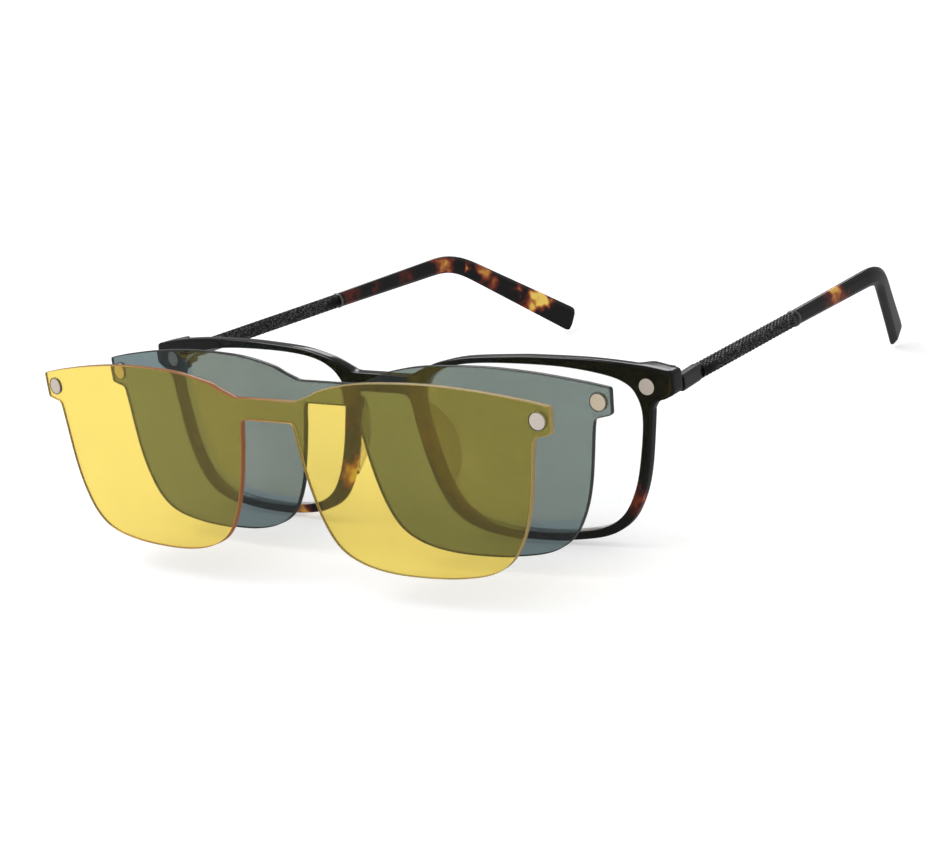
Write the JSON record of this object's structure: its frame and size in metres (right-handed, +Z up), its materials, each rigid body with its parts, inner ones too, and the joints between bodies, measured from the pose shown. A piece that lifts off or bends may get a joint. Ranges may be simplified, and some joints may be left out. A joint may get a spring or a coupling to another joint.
{
  "type": "eyeglasses with magnetic clip-on lenses",
  "caption": "Rectangular eyeglasses with folding temples and two tinted one-piece clip-on lens plates held ahead of the front by magnets.",
  "frame": {"origin": "middle of the underside of the whole object's box, on the surface that the rims and temple tips stand on", "axes": "+X towards the right-hand temple as seen from in front of the glasses, +Y back along the temples, +Z up"},
  "size_m": [0.138, 0.1642, 0.0441],
  "materials": {
    "tortoise_acetate": "gloss",
    "smoke_acetate": "gloss",
    "clear_lens": "polished",
    "magnet_plating": "satin",
    "steel": "satin",
    "gunmetal": "satin",
    "sun_tint": "polished",
    "yellow_tint": "polished"
  },
  "bodies": {
    "front": {"front_frame": "tortoise_acetate", "lens_right": "clear_lens", "lens_left": "clear_lens", "nose_pad_right": "smoke_acetate", "nose_pad_left": "smoke_acetate", "frame_magnet_right": "magnet_plating", "frame_magnet_left": "magnet_plating", "hinge_plate_right": "gunmetal", "hinge_plate_left": "gunmetal", "hinge_screw_right": "steel", "hinge_screw_left": "steel"},
    "temple_right": {"temple_arm_right": "gunmetal", "knurled_sleeve_right": "gunmetal", "end_ring_right": "steel", "temple_tip_right": "tortoise_acetate"},
    "temple_left": {"temple_arm_left": "gunmetal", "knurled_sleeve_left": "gunmetal", "end_ring_left": "steel", "temple_tip_left": "tortoise_acetate"},
    "sun_clip": {"sun_clip_plate": "sun_tint", "sun_clip_magnet_right": "magnet_plating", "sun_clip_magnet_left": "magnet_plating"},
    "yellow_clip": {"yellow_clip_plate": "yellow_tint", "yellow_clip_magnet_right": "magnet_plating", "yellow_clip_magnet_left": "magnet_plating"}
  },
  "joints": [
    {"name": "temple_right_fold", "type": "hinge", "parent": "front", "child": "temple_right", "pos_m": [0.064, -0.0339, 0.03111], "axis": [0, 0.0828, 0.9966], "range_deg": [0, 82]},
    {"name": "temple_left_fold", "type": "hinge", "parent": "front", "child": "temple_left", "pos_m": [-0.064, -0.0339, 0.03111], "axis": [0, -0.0828, -0.9966], "range_deg": [0, 72]},
    {"name": "sun_clip_pull", "type": "slide", "parent": "front", "child": "sun_clip", "axis": [0, 0.9864, -0.1642], "range_m": [0, 0.0147]},
    {"name": "yellow_clip_pull", "type": "slide", "parent": "sun_clip", "child": "yellow_clip", "axis": [0, 0.9864, -0.1642], "range_m": [0, 0.0175]}
  ]
}
